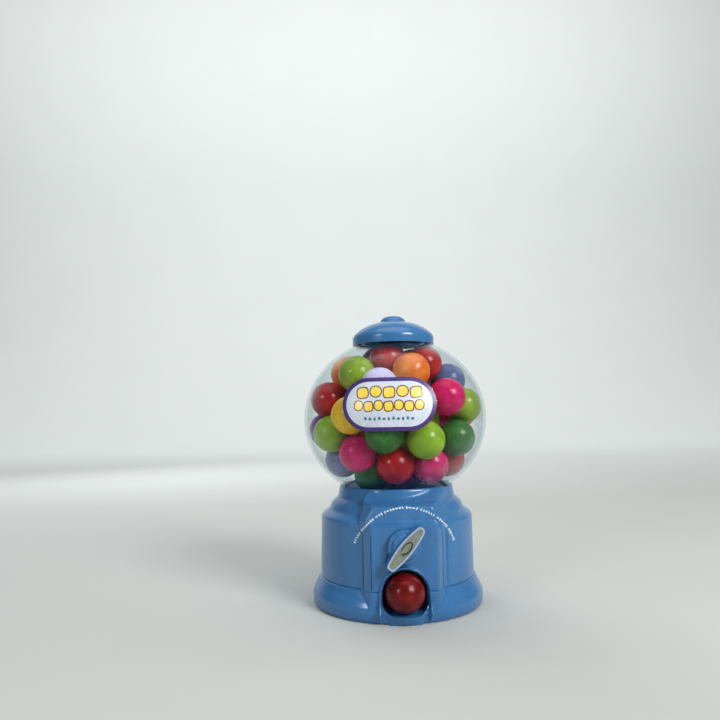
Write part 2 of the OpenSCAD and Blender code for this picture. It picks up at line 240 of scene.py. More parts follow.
class Mat:
    def __init__(self, name):
        self.m = bpy.data.materials.new(name)
        self.m.use_nodes = True
        self.t = self.m.node_tree
        self.t.nodes.clear()
        self.out = self.n("ShaderNodeOutputMaterial")
        self.coord = self.n("ShaderNodeTexCoord")

    def n(self, kind, **kw):
        node = self.t.nodes.new(kind)
        for k, v in kw.items():
            setattr(node, k, v)
        return node

    def link(self, a, b):
        self.t.links.new(a, b)

    def noise(self, scale, detail=3.0, rough=0.5, stretch=None, dist=0.0):
        n = self.n("ShaderNodeTexNoise")
        n.inputs["Scale"].default_value = scale
        n.inputs["Detail"].default_value = detail
        n.inputs["Roughness"].default_value = rough
        n.inputs["Distortion"].default_value = dist
        if stretch:
            mp = self.n("ShaderNodeMapping")
            mp.inputs["Scale"].default_value = stretch
            self.link(self.coord.outputs["Object"], mp.inputs["Vector"])
            self.link(mp.outputs["Vector"], n.inputs["Vector"])
        else:
            self.link(self.coord.outputs["Object"], n.inputs["Vector"])
        return n.outputs["Fac"]

    def ramp(self, fac, stops):
        r = self.n("ShaderNodeValToRGB")
        e = r.color_ramp.elements
        while len(e) < len(stops):
            e.new(0.5)
        for el, (p, c) in zip(e, stops):
            el.position = p
            el.color = (*c, 1) if len(c) == 3 else c
        self.link(fac, r.inputs["Fac"])
        return r.outputs["Color"]

    def span(self, fac, lo, hi, a=0.3, b=0.7):
        r = self.n("ShaderNodeMapRange")
        r.inputs["From Min"].default_value = a
        r.inputs["From Max"].default_value = b
        r.inputs["To Min"].default_value = lo
        r.inputs["To Max"].default_value = hi
        self.link(fac, r.inputs["Value"])
        return r.outputs["Result"]

    def mix(self, fac, a, b):
        m = self.n("ShaderNodeMix", data_type="RGBA")
        if isinstance(fac, (int, float)):
            m.inputs["Factor"].default_value = fac
        else:
            self.link(fac, m.inputs["Factor"])
        for sock, v in (("A", a), ("B", b)):
            s = [i for i in m.inputs if i.name == sock and i.type == "RGBA"][0]
            if isinstance(v, (tuple, list)):
                s.default_value = (*v, 1) if len(v) == 3 else v
            else:
                self.link(v, s)
        return [o for o in m.outputs if o.type == "RGBA"][0]

    def bump(self, height, strength, distance):
        b = self.n("ShaderNodeBump")
        b.inputs["Strength"].default_value = strength
        b.inputs["Distance"].default_value = distance
        self.link(height, b.inputs["Height"])
        return b.outputs["Normal"]

    def add(self, a, b, wa=1.0, wb=1.0):
        m1 = self.n("ShaderNodeMath", operation="MULTIPLY")
        self.link(a, m1.inputs[0])
        m1.inputs[1].default_value = wa
        m2 = self.n("ShaderNodeMath", operation="MULTIPLY_ADD")
        self.link(b, m2.inputs[0])
        m2.inputs[1].default_value = wb
        self.link(m1.outputs[0], m2.inputs[2])
        return m2.outputs[0]

    def bsdf(self, color, rough, normal=None, metallic=0.0, coat=0.0, spec=0.5, ior=1.5, sub=0.0, coat_rough=0.05):
        p = self.n("ShaderNodeBsdfPrincipled")
        for sock, v in (("Base Color", color), ("Roughness", rough)):
            if isinstance(v, (tuple, list)):
                p.inputs[sock].default_value = (*v, 1)
            elif isinstance(v, (int, float)):
                p.inputs[sock].default_value = v
            else:
                self.link(v, p.inputs[sock])
        if normal is not None:
            self.link(normal, p.inputs["Normal"])
        p.inputs["Metallic"].default_value = metallic
        p.inputs["Coat Weight"].default_value = coat
        p.inputs["Coat Roughness"].default_value = coat_rough
        p.inputs["Specular IOR Level"].default_value = spec
        p.inputs["IOR"].default_value = ior
        if sub > 0:
            p.inputs["Subsurface Weight"].default_value = sub
            p.inputs["Subsurface Scale"].default_value = 0.004
            p.inputs["Subsurface Radius"].default_value = (1.0, 0.6, 0.4)
        self.link(p.outputs["BSDF"], self.out.inputs["Surface"])
        return p


def plastic(name, dark, light, r0=0.2, r1=0.32, grain=0.00003, coat=0.0, spec=0.5):
    # moulded plastic: faint flow marks in the colour, uneven gloss, orange-peel surface and rare scuffs
    m = Mat(name)
    flow = m.noise(38, 4, 0.6, stretch=(1, 1, 0.35), dist=0.6)
    fine = m.noise(900, 2, 0.5)
    col = m.ramp(flow, [(0.3, dark), (0.7, light)])
    scuff = m.noise(160, 5, 0.75, stretch=(1, 1, 4), dist=1.5)
    mark = m.span(scuff, 0, 1, 0.66, 0.78)
    pale = tuple(min(1, c * 1.25 + 0.05) for c in light)
    col = m.mix(m.span(scuff, 0, 0.25, 0.66, 0.8), col, pale)
    rough = m.add(m.span(flow, r0, r1), mark, 1.0, 0.12)
    peel = m.noise(420, 2, 0.4)
    nrm = m.bump(m.add(peel, fine, 1.0, 0.3), 0.35, grain)
    m.bsdf(col, rough, nrm, coat=coat, spec=spec)
    return m.m


def metal(name, c0, c1, r0, r1, scale=(1, 30, 1)):
    m = Mat(name)
    turn = m.noise(260, 3, 0.6, stretch=scale)
    col = m.ramp(turn, [(0.3, c0), (0.7, c1)])
    m.bsdf(col, m.span(turn, r0, r1), m.bump(turn, 0.4, 0.00002), metallic=1.0)
    return m.m


def candy(name, dark, base, light):
    # sugar shell: mottled colour, each ball a little different, a thin polish and tiny pits
    m = Mat(name)
    geo = m.n("ShaderNodeNewGeometry")
    cloud = m.noise(130, 4, 0.6, dist=0.4)
    col = m.ramp(cloud, [(0.28, dark), (0.5, base), (0.74, light)])
    per = m.n("ShaderNodeHueSaturation")
    m.link(m.span(geo.outputs["Random Per Island"], 0.496, 0.503, 0, 1), per.inputs["Hue"])
    m.link(m.span(geo.outputs["Random Per Island"], 0.88, 1.1, 0, 1), per.inputs["Value"])
    m.link(col, per.inputs["Color"])
    speck = m.noise(1500, 2, 0.6)
    dust = m.mix(m.span(speck, 0.0, 0.12, 0.72, 0.84), per.outputs["Color"], tuple(min(1, c * 0.5 + 0.5) for c in light))
    pits = m.noise(700, 3, 0.6)
    nrm = m.bump(m.add(pits, cloud, 0.35, 1.0), 0.5, 0.00008)
    m.bsdf(dust, m.span(cloud, 0.18, 0.32), nrm, coat=0.06, coat_rough=0.06, spec=0.26, sub=0.03)
    return m.m


def print_ink(name, a, b, r0=0.3, r1=0.42, scale=500):
    # printed film: slight mottle of the ink and a satin, faintly uneven surface
    m = Mat(name)
    n1 = m.noise(scale, 4, 0.65)
    n2 = m.noise(60, 2, 0.5)
    col = m.ramp(n1, [(0.35, a), (0.65, b)])
    m.bsdf(col, m.span(n2, r0, r1), m.bump(n1, 0.25, 0.00002), coat=0.2, coat_rough=0.15)
    return m.m


def clear(name):
    # clear moulded plastic: see-through straight on, mirror-like at grazing angles, with faint wipe marks
    m = Mat(name)
    wipe = m.noise(70, 5, 0.7, stretch=(1, 1, 2.5), dist=1.0)
    face = m.n("ShaderNodeLayerWeight")
    face.inputs["Blend"].default_value = 0.5
    power = m.n("ShaderNodeMath", operation="POWER")
    m.link(face.outputs["Facing"], power.inputs[0])
    power.inputs[1].default_value = 3.6
    gain = m.n("ShaderNodeMath", operation="MULTIPLY_ADD", use_clamp=True)
    m.link(power.outputs[0], gain.inputs[0])
    gain.inputs[1].default_value = 0.58
    gain.inputs[2].default_value = 0.008
    trans = m.n("ShaderNodeBsdfTransparent")
    lw = m.n("ShaderNodeLayerWeight")
    lw.inputs["Blend"].default_value = 0.35
    tint = m.mix(m.span(lw.outputs["Facing"], 0.0, 1.0, 0.3, 1.0), (0.985, 0.992, 0.995), (0.72, 0.8, 0.83))
    m.link(tint, trans.inputs["Color"])
    gl = m.n("ShaderNodeBsdfAnisotropic")
    gl.inputs["Color"].default_value = (1, 1, 1, 1)
    m.link(m.span(wipe, 0.03, 0.12), gl.inputs["Roughness"])
    m.link(m.bump(wipe, 0.08, 0.0002), gl.inputs["Normal"])
    mx = m.n("ShaderNodeMixShader")
    m.link(gain.outputs[0], mx.inputs[0])
    m.link(trans.outputs[0], mx.inputs[1])
    m.link(gl.outputs[0], mx.inputs[2])
    m.link(mx.outputs[0], m.out.inputs["Surface"])
    return m.m


BLUE = plastic("blue_moulded", (0.027, 0.135, 0.335), (0.043, 0.178, 0.405), 0.2, 0.3, coat=0.2)
BLUE_DARK = plastic("blue_cover", (0.035, 0.125, 0.35), (0.05, 0.16, 0.42), 0.34, 0.46, grain=0.00006)
INNER = plastic("inner_blue", (0.035, 0.13, 0.38), (0.055, 0.175, 0.46), 0.28, 0.4)
WHITE = plastic("inner_white", (0.72, 0.73, 0.71), (0.84, 0.85, 0.83), 0.36, 0.5, grain=0.00005)
STEEL = metal("screw_zinc", (0.52, 0.52, 0.53), (0.7, 0.7, 0.71), 0.28, 0.42)
SHAFT = metal("turned_steel", (0.42, 0.43, 0.45), (0.62, 0.63, 0.65), 0.2, 0.34, scale=(1, 60, 1))
CLEAR = clear("clear_globe")
VIOLET = print_ink("ink_violet", (0.038, 0.014, 0.135), (0.054, 0.022, 0.18))
PAPER = print_ink("ink_pale", (0.56, 0.61, 0.72), (0.66, 0.70, 0.80), scale=320)
YELLOW = print_ink("ink_yellow", (0.86, 0.58, 0.05), (0.95, 0.70, 0.08))
BROWN = print_ink("ink_outline", (0.10, 0.05, 0.04), (0.15, 0.08, 0.05))
TEAL = print_ink("ink_teal", (0.03, 0.16, 0.20), (0.05, 0.22, 0.26))
SKY = print_ink("ink_sky", (0.42, 0.62, 0.80), (0.52, 0.70, 0.86))
LAVENDER = print_ink("ink_lavender", (0.33, 0.38, 0.58), (0.42, 0.47, 0.68))
SAGE = print_ink("ink_sage", (0.15, 0.185, 0.145), (0.215, 0.25, 0.185))
BLACK = print_ink("ink_black", (0.012, 0.016, 0.016), (0.03, 0.035, 0.035))
INKWHITE = print_ink("ink_white", (0.62, 0.70, 0.78), (0.76, 0.82, 0.88))
CANDY = {
    "red": candy("candy_red", (0.22, 0.001, 0.004), (0.34, 0.002, 0.008), (0.46, 0.01, 0.02)),
    "orange": candy("candy_orange", (0.56, 0.10, 0.006), (0.70, 0.17, 0.012), (0.78, 0.30, 0.02)),
    "yellow": candy("candy_yellow", (0.62, 0.33, 0.008), (0.73, 0.44, 0.016), (0.80, 0.56, 0.04)),
    "lime": candy("candy_lime", (0.15, 0.28, 0.010), (0.22, 0.37, 0.015), (0.33, 0.48, 0.04)),
    "green": candy("candy_green", (0.012, 0.085, 0.010), (0.024, 0.14, 0.018), (0.05, 0.22, 0.035)),
    "pink": candy("candy_pink", (0.38, 0.003, 0.06), (0.52, 0.006, 0.12), (0.62, 0.03, 0.20)),
    "white": candy("candy_white", (0.38, 0.35, 0.60), (0.49, 0.46, 0.70), (0.62, 0.60, 0.80)),
    "blue": candy("candy_blue", (0.075, 0.10, 0.25), (0.11, 0.145, 0.33), (0.16, 0.20, 0.42)),
    "purple": candy("candy_purple", (0.085, 0.008, 0.13), (0.14, 0.015, 0.19), (0.21, 0.04, 0.28)),
}
# the ball in the tray: a darker copy of the red candy, painted shade for the ball sitting down in the chute
RED_PAINTED_SHADE = candy("candy_red_painted_shade", (0.055, 0.0006, 0.001), (0.115, 0.001, 0.002), (0.20, 0.003, 0.005))

# ------------------------------------------------------------------ base shell

SKIRT_R, BODY_R, SKIRT_H, BAY_Y, BAY_W = 41.8, 37.6, 13.6, 38.4, 15.0
OPEN_R, OPEN_TOP, FLOOR, TRAY_Y, TRAY_R = 10.0, 23.4, 4.25, -33.4, 11.6
TOP_Z = 57.35
SHAFT_Z = 33.8

_z = np.arange(0, TOP_Z + 0.001, 0.05)
_prof = np.interp(_z, [0, 0.6, 2.2, 4.4, 6.6, 8.7, 10.8, 13.2, 13.55, 13.6, 42.6, 43.3, 43.9, 45.9, 46.5, 47.6, 49.0,
                       50.2, 51.2, 51.7, 52.4, 54.6, 56.6, 57.2, 57.35],
                  [40.3, 41.1, 41.6, 41.8, 41.5, 40.6, 39.4, 38.5, 38.1, 37.6, 37.0, 36.7, 36.1, 33.4, 32.9, 32.5, 31.8,
                   30.8, 29.5, 28.85, 28.6, 28.2, 27.9, 27.6, 27.1])
_soft = blur(_prof, 5)
_near = np.abs(_z - SKIRT_H) < 1.2
_crisp = blur(_prof, 3)
_prof_s = np.where(_near, _crisp, _soft)
_prof_s = np.minimum(_prof_s, 41.8) - 0.4 * np.exp(-((_z - SKIRT_H - 0.24) / 0.17) ** 2)
_prof_s[-6:] = np.interp(_z[-6:], [57.1, 57.35], [27.62, 27.1])


def prof(z):
    return np.interp(z, _z, _prof_s)


def shell_r(th, z):
    # outer radius of the moulding at angle th from the front and height z
    th, z = np.broadcast_arrays(np.asarray(th, float), np.asarray(z, float))
    c, s = np.cos(th), np.sin(th)
    r0 = prof(z)
    x = np.abs(r0 * s)
    # front face distance: foot, main face with rounded upper corners, stepped-back top, sweep into the ring
    corner = np.where(x > 12, 3.4 - np.sqrt(np.clip(3.4 ** 2 - (x - 12) ** 2, 0, None)), 0)
    zt = 43.5 - np.clip(corner, 0, 3.4)
    d = 38.4 + 0.5 * step(13.75, 13.35, z) - 0.35 * np.exp(-((z - SKIRT_H - 0.15) / 0.17) ** 2)
    d = d - 2.9 * step(zt - 0.9, zt + 0.9, z)
    d_top = np.interp(z, [0, 49.4, 50.1, 50.8, 51.5, 52.2, 53.4, 54.4, 60], [99, 35.6, 35.2, 34.2, 32.6, 30.4, 28.4, 27.0, 20])
    d = smin(d, d_top, 0.6)
    cc = np.clip(c, 0.2, 1)
    front = d / cc
    sd = 33.5 + 0.35 * step(13.75, 13.35, z) - 0.55 * np.clip(z - 44.5, 0, 7)
    phi = math.radians(56.98)
    side_r = sd / np.clip(np.cos(th - phi), 0.2, 1)
    side_l = sd / np.clip(np.cos(th + phi), 0.2, 1)
    bay = smin(smin(front, side_r, 1.1), side_l, 1.1)
    env = np.interp(z, [0, 2, 4.4, 6.5, 60], [39.8, 40.8, 41.2, 41.3, 41.3])
    bay = smin(bay, env, 0.5)
    bay = np.where(np.abs(th) > math.radians(52), 0, bay)
    r = smax(r0, bay, 0.9)
    # raised rim round the chute opening
    xx = r * s
    dist = np.where(z > OPEN_TOP - OPEN_R, np.hypot(xx, z - (OPEN_TOP - OPEN_R)) - OPEN_R, np.abs(xx) - OPEN_R)
    y_rim = np.interp(z, [2, 4, 5.4, 7.5, 11, 14, 60], [41.4, 42.5, 43.1, 41.7, 40.5, 39.6, 39.4])
    drop = 2.4 * (np.abs(dist - 0.75) / 0.86) ** 2.6
    rim = np.where((np.abs(th) < 0.5) & (z > 1.5), (y_rim - drop) / cc, 0)
    r = smax(r, rim, 0.35)
    # the tray's half-round scoop
    rho = np.interp(z, [0, 0.3, 1.2, 3.2, 4.1, 4.7, 5.15, 5.4], [8.6, 9.0, 9.8, 11.0, 11.5, 11.6, 11.4, 10.9])
    q = rho ** 2 - (33.4 * s) ** 2
    tray = np.where((q > 0) & (z <= 5.4), 33.4 * c + np.sqrt(np.clip(q, 0, None)), 0)
    r = np.where((tray > 0) & (np.abs(th) < 0.6), smax(r, tray, 0.8), r)
    # fine creases down both edges of the front bay
    fade = np.interp(z, [13.9, 15.0, 38.5, 41.0], [0, 1, 1, 0])
    for xk, wide, deep in ((-18.1, 0.26, 0.70), (-14.8, 0.22, 0.55), (17.6, 0.22, 0.55), (19.9, 0.26, 0.70)):
        r = r - deep * fade * np.exp(-((r * s - xk) / wide) ** 2) * (np.abs(th) < 0.9)
    return r


def front_point(x, z, off=0.0):
    # point of the outer surface straight behind (x, z) as seen from the front
    th = math.asin(max(-1, min(1, x / 38.0)))
    for _ in range(25):
        r = float(shell_r(th, z)) + off
        th = math.asin(max(-1, min(1, x / r)))
    return (r * math.sin(th), -r * math.cos(th), z)


def build_shell():
    f0 = math.radians(31)
    front = np.linspace(-f0, f0, 281)
    back = np.linspace(f0, 2 * math.pi - f0, 232)[1:-1]
    th = np.concatenate([front, back])
    zs = list(np.arange(0, 31.01, 0.25)) + list(np.arange(32, 42.5, 0.9))
    zf = np.arange(42.5, TOP_Z + 0.001, 0.05)
    length = np.concatenate([[0], np.cumsum(np.hypot(0.05, np.diff(prof(zf))))])
    zs += list(np.interp(np.arange(0, length[-1], 0.32), length, zf)) + [TOP_Z]
    zs = np.array(sorted(set(np.round(zs, 4))))
    zs = zs[np.concatenate([[True], np.diff(zs) > 0.02])]
    # crisp rows at the skirt's edge
    extra = np.array([13.35, 13.42, 13.55, 13.62, 13.68, 13.8, 13.9, 5.35, 5.4, 5.45, 0.08, 0.16])
    zs = np.unique(np.concatenate([zs, extra]))
    T, Z = np.meshgrid(th, zs)
    R = shell_r(T, Z)
    # small round at the bottom edge
    R = R - 0.5 * np.clip(1 - Z / 0.5, 0, 1) ** 2
    n = len(th)
    outer = np.stack([R * np.sin(T), -R * np.cos(T), Z], -1).reshape(-1, 3)
    # seat at the top, then the inside wall back down
    rin = [(26.6, 57.2), (25.9, 56.7), (25.62, 56.2), (25.6, 50.0), (20.5, 50.0), (20.5, 48.0), (30.2, 48.0), (30.8, 46.0),
           (33.2, 44.0), (35.0, 42.0), (35.3, 30.0), (35.45, 22), (35.6, 13.0), (38.2, 10.0), (39.2, 6.8), (39.6, 4.4), (39.1, 1.6), (38.9, 0.25), (39.1, 0)]
    inner = []
    for r, z in rin:
        rr = np.full(n, r, float)
        if 12.5 < z < 42.5:
            cc = np.clip(np.cos(th), 0.2, 1)
            sd = 31.5
            phi = math.radians(56.98)
            b = smin(smin(36.4 / cc, sd / np.clip(np.cos(th - phi), 0.2, 1), 1.0), sd / np.clip(np.cos(th + phi), 0.2, 1), 1.0)
            b = np.where(np.abs(th) > math.radians(52), 0, b)
            rr = smax(rr, b, 0.5)
        inner.append(np.stack([rr * np.sin(th), -rr * np.cos(th), np.full(n, z)], -1))
    verts = np.concatenate([outer] + inner)
    rows = len(zs) + len(rin)
    faces = grid_faces(rows, n)
    # close the ring between the last inner row and the first outer row
    last = (rows - 1) * n
    for c in range(n):
        d = (c + 1) % n
        faces.append((last + c, last + d, d, c))
    return make("base_moulding", verts, faces, BLUE, angle=38)


def arch_outline(r, z0, fillet, n=40):
    zc = OPEN_TOP - OPEN_R
    pts = [(r * math.cos(t), zc + r * math.sin(t)) for t in np.linspace(0, math.pi, n)]
    for k in range(9):
        t = math.pi + (math.pi / 2) * k / 8
        pts.append((-r + fillet + fillet * math.cos(t), z0 + fillet + fillet * math.sin(t)))
    for k in range(9):
        t = 1.5 * math.pi + (math.pi / 2) * k / 8
        pts.append((r - fillet + fillet * math.cos(t), z0 + fillet + fillet * math.sin(t)))
    return pts


def prism_y(outline, y0, y1, name="cutter"):
    n = len(outline)
    verts = [(x, y0, z) for x, z in outline] + [(x, y1, z) for x, z in outline]
    faces = [tuple(range(n)), tuple(range(2 * n - 1, n - 1, -1))]
    faces += [(i, (i + 1) % n, n + (i + 1) % n, n + i) for i in range(n)]
    return make(name, verts, faces, BLUE)


def simple(name, v, f, mat=None, angle=32):
    return make(name, v, f, mat or BLUE, angle)


shell = build_shell()

# solid under the tray's floor, joined to the moulding's inside
tray_pts = [(TRAY_R * 0.98 * math.cos(t), TRAY_Y + TRAY_R * 0.98 * math.sin(t)) for t in np.linspace(0, 2 * math.pi, 73)[:-1]]
blk = [(x, min(y, -34.5)) for x, y in tray_pts if y < -34.5 + 1e-6]
blk.sort(key=lambda p: math.atan2(p[1] + 36, p[0]))
blk = [(-11.35, -34.5)] + [p for p in sorted(blk, key=lambda p: p[0])] + [(11.35, -34.5)]
nb = len(blk)
pv = [(x * 0.82, max(y, -41.5) if y < -41.5 else y, 0.0) for x, y in blk] + [(x, max(y, -44.2), 5.1) for x, y in blk]
pf = [tuple(range(nb)), tuple(range(2 * nb - 1, nb - 1, -1))] + [(i, (i + 1) % nb, nb + (i + 1) % nb, nb + i) for i in range(nb)]
block = make("tray_block", pv, pf, BLUE)
boolean(shell, block, "UNION")

# collar of the chute opening that runs through the wall
co = arch_outline(OPEN_R + 1.3, 2.2, 2.0)
boolean(shell, prism_y(co, -38.6, -34.6), "UNION")

boolean(shell, prism_y(arch_outline(OPEN_R, FLOOR, 5.2), -60, -30), "DIFFERENCE")
# hole for the bush, bosses for the screws and the way through for the dispenser
v, f = lathe_y([(0, -45), (3.98, -45), (3.98, -30), (0, -30)], SHAFT_Z, 64)
boolean(shell, make("bush_hole", v, f, BLUE), "DIFFERENCE")
bx = [(-13.5, -24.4, 47), (13.5, -24.4, 47), (13.5, 0, 47), (-13.5, 0, 47), (-13.5, -24.4, 53), (13.5, -24.4, 53), (13.5, 0, 53), (-13.5, 0, 53)]
bf = [(0, 3, 2, 1), (4, 5, 6, 7), (0, 1, 5, 4), (1, 2, 6, 5), (2, 3, 7, 6), (3, 0, 4, 7)]
boolean(shell, make("slot_hole", bx, bf, BLUE), "DIFFERENCE")
for sx in (-1, 1):
    for sy in (-1, 1):
        v, f = revolve([(1.15, 2.2), (2.9, 2.2), (3.1, 2.4), (3.2, 24), (1.15, 24)], 48)
        b = make("boss", [(x + sx * 23.3, y + sy * 23.3, z) for x, y, z in v], f, BLUE)
        # a web ties each boss to the wall
        a = math.atan2(sy, sx)
        ca, sa = math.cos(a), math.sin(a)
        w = [(r, t, z) for z in (2.6, 24) for r, t in ((33.5, -0.8), (38.0 if z < 5 else 35.6, -0.8), (38.0 if z < 5 else 35.6, 0.8), (33.5, 0.8))]
        w = [(r * ca - t * sa, r * sa + t * ca, z) for r, t, z in w]
        web = make("web", w, [(0, 3, 2, 1), (4, 5, 6, 7), (0, 1, 5, 4), (1, 2, 6, 5), (2, 3, 7, 6), (3, 0, 4, 7)], BLUE)
        boolean(b, web, "UNION")
        b.data.materials.clear()
        bm = bmesh.new()
        bm.from_mesh(shell.data)
        bm.from_mesh(b.data)
        bm.to_mesh(shell.data)
        bm.free()
        bpy.data.objects.remove(b)
shell.data.materials.clear()
shell.data.materials.append(BLUE)
shell.data.polygons.foreach_set("material_index", np.zeros(len(shell.data.polygons), np.int32))
sharpen(shell.data, 36)
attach(shell, "base")
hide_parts("base_shell")

# ------------------------------------------------------------------ arc of printed marks, generic dots and dashes

av, af = [], []


def put(v, f):
    b = len(av)
    av.extend(v)
    af.extend([tuple(i + b for i in q) for q in f])


def mark(kind, t0):
    # generic little shapes: upright bar, dot, flat dash, slanted bar
    w, h, turn = ((0.27, 0.68, 0.0), (0.42, 0.42, 0.0), (0.62, 0.3, 0.0), (0.27, 0.62, 0.5), (0.27, 0.58, -0.5), (0.36, 0.55, 0.0))[kind]
    o = []
    for q in np.linspace(0, 2 * math.pi, 17)[:-1]:
        c, sn = math.cos(q), math.sin(q)
        u, v = w * math.copysign(abs(c) ** 0.7, c), h * math.copysign(abs(sn) ** 0.7, sn)
        o.append((u * math.cos(turn) + v * math.sin(turn), v * math.cos(turn) - u * math.sin(turn)))
    return o, max(abs(p[0]) for p in o)


rng = np.random.default_rng(7)
R_ARC, Z_ARC, X_ARC = 23.9, 26.3, 1.0
ang, count, run = 161.0, 0, 5
while ang > 19.3:
    o, half = mark(int(rng.integers(0, 6)), ang)
    ang -= math.degrees(half / R_ARC)
    t = math.radians(ang)
    cx, cz = X_ARC + R_ARC * math.cos(t), Z_ARC + R_ARC * math.sin(t)
    tx, tz = math.sin(t), -math.cos(t)

    def conform(u, w, off, cx=cx, cz=cz, tx=tx, tz=tz):
        return front_point(cx + u * tx - w * tz, cz + u * tz + w * tx, off)

    v, f = star(o, 2, conform, -0.08, 0.05)
    put(v, f)
    count += 1
    gap = 0.42
    if count == run:
        count, run, gap = 0, int(rng.integers(3, 9)), 1.1
    ang -= math.degrees((half + gap) / R_ARC)
arc = make("print_arc", av, af, INKWHITE)
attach(arc, "base")

# ------------------------------------------------------------------ globe, its label and the lid

GA, GC, GZ, GW = 44.7, 39.9, 89.4, 1.2


def ell(a, c, t0, t1, n):
    return [(a * math.cos(t), GZ + c * math.sin(t)) for t in np.linspace(t0, t1, n)]


ai, ci = GA - GW, GC - GW
pr = [(24.1, 52.05), (24.4, 52.0), (25.1, 52.0), (25.3, 52.2)] + ell(GA, GC, -math.acos(25.3 / GA), math.acos(17.6 / GA), 90)
pr += [(17.6, 129.3), (17.45, 129.5), (16.45, 129.5), (16.3, 129.3)] + ell(ai, ci, math.acos(16.3 / ai), -math.acos(24.1 / ai), 90)
v, f = revolve(pr, 180)
globe = make("globe_clear", v, f, CLEAR, angle=50)
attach(globe, "base")
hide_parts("globe")


def on_globe(u, w, off):
    # label coordinates to the globe's surface, the label's middle 8 degrees left of the front
    A, C = GA + off, GC + off
    z = 96.1 + w
    y = -A * math.sqrt(max(0, 1 - ((z - GZ) / C) ** 2 - (u / A) ** 2))
    c8, s8 = math.cos(math.radians(8)), math.sin(math.radians(8))
    return (u * c8 + y * s8, -u * s8 + y * c8, z)


LW, LH = 41.2, 23.4
lab_v, lab_f, lab_m = [], [], []
LM = [VIOLET, PAPER, YELLOW, BROWN, TEAL, SKY]


def lab(v, f, m):
    b = len(lab_v)
    lab_v.extend(v)
    lab_f.extend([tuple(i + b for i in q) for q in f])
    lab_m.extend([m] * len(f))


lab(*star(stadium(LW, LH), 16, on_globe, 0.05, 0.16), 0)
lab(*star(stadium(LW - 3.6, LH - 3.6), 14, on_globe, 0.10, 0.19), 1)
# pale confetti in the field
rng = np.random.default_rng(11)
for k in range(90):
    x, y = rng.uniform(-17.5, 17.5), rng.uniform(-9, 9)
    d = max(abs(x) - 8.9, 0)
    if math.hypot(d, y) < 9.1:
        lab(*star(disc(x, y, rng.uniform(0.22, 0.42), 10), 1, on_globe, 0.12, 0.205, (x, y)), 5)


def sweet(x, y, w, h, turn, power):
    # one rounded sweet with a dark outline and a small highlight
    def shape(g):
        o = []
        for t in np.linspace(0, 2 * math.pi, 45)[:-1]:
            c, sn = math.cos(t), math.sin(t)
            u = (w / 2 + g) * math.copysign(abs(c) ** power, c)
            v = (h / 2 + g) * math.copysign(abs(sn) ** power, sn)
            o.append((x + u * math.cos(turn) - v * math.sin(turn), y + u * math.sin(turn) + v * math.cos(turn)))
        return o
    lab(*star(shape(0.5), 3, on_globe, 0.14, 0.22, (x, y)), 3)
    lab(*star(shape(0.0), 3, on_globe, 0.15, 0.245, (x, y)), 2)
    hx, hy = x - w * 0.2, y + h * 0.24
    lab(*star(disc(hx, hy, 0.34, 12, 1.5), 1, on_globe, 0.2, 0.262, (hx, hy)), 1)


for i, x in enumerate((-11.6, -5.8, 0.0, 5.8, 11.6)):
    sweet(x + 0.2, 5.15 + (0.35 if i % 2 else -0.1), 4.5, 4.3, (0.10, -0.12, 0.05, -0.08, 0.12)[i], (0.62, 0.95, 0.55, 0.95, 0.62)[i])
for i, x in enumerate((-13.2, -8.8, -4.4, 0.0, 4.4, 8.8, 13.2)):
    sweet(x, -0.75 + (-0.2 if i % 2 else 0.2), 3.4, 3.8, (-0.1, 0.08, -0.05, 0.1, -0.08, 0.06, -0.1)[i], (0.9, 0.6, 0.9, 0.6, 0.9, 0.6, 0.9)[i])
for i, x in enumerate(np.linspace(-10.2, 10.2, 11)):
    y = -6.3 + 0.15 * math.cos(i * 2.1)
    lab(*star(disc(x, y, (0.75, 0.6, 0.85)[i % 3], 16, (0.8, 1.2, 0.6)[i % 3]), 2, on_globe, 0.14, 0.22, (x, y)), 4)
label = make("globe_sticker", lab_v, lab_f, LM, index=lab_m)
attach(label, "base")
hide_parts("globe_label")

lp = rounded([(18.4, 126.35), (18.55, 126.1), (19.75, 125.62), (20.1, 125.8), (20.1, 129.2), (19.8, 130.1), (19.0, 131.2), (17.6, 132.5),
              (15.7, 133.8), (13.5, 135.0), (11.5, 135.8), (9.5, 136.4), (8.0, 136.75), (7.1, 136.92), (6.6, 137.1), (6.4, 137.4), (5.9, 138.3),
              (5.0, 139.2), (3.7, 139.85), (2.2, 140.12), (1.0, 140.18), (0, 140.2)],
             [0, 0.2, 0.25, 0.25, 0.5] + [1.5] * 7 + [0.6, 0.6, 0.45, 0.4, 0.8, 0.8, 0.9, 0.9, 0.6, 0], 4)
lp += [(0, 135.4), (5, 135.1), (9, 134.3), (12, 132.9), (14.2, 131.2), (14.2, 126.9), (14.35, 126.6), (14.6, 126.5), (15.5, 126.5), (15.75, 126.6),
       (15.9, 126.9), (15.9, 129.6), (17.9, 129.6), (18.1, 128.4)]
v, f = revolve(lp, 160)
lid = make("lid_cap", v, f, BLUE, angle=40)
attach(lid, "lid")
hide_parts("lid")

# ------------------------------------------------------------------ knob and its label

HL, HW, TILT, SZ = 22.8, 6.7, math.radians(50), SHAFT_Z


def half_w(u):
    return HW / 2 * (1 - 0.44 * (abs(u) / (HL / 2)) ** 1.9)


def handle(g, n=30):
    # outline of the handle grown by g, square with softened corners at one end and round at the other
    e = HL / 2
    u1 = e - half_w(e) * 0.9
    top, bot = [], []
    us = np.linspace(-e - g, u1, n)
    for u in us:
        w = half_w(max(u, -e)) + g
        soft = 0.55
        if u < -e - g + soft:
            w -= soft - math.sqrt(max(0, soft ** 2 - (soft - (u + e + g)) ** 2))
        top.append((u, w))
        bot.append((u, -w))
    w1 = half_w(u1) + g
    tip = [(u1 + w1 * math.cos(t), w1 * math.sin(t)) for t in np.linspace(math.pi / 2, -math.pi / 2, 18)[1:-1]]
    return top + tip + bot[::-1]


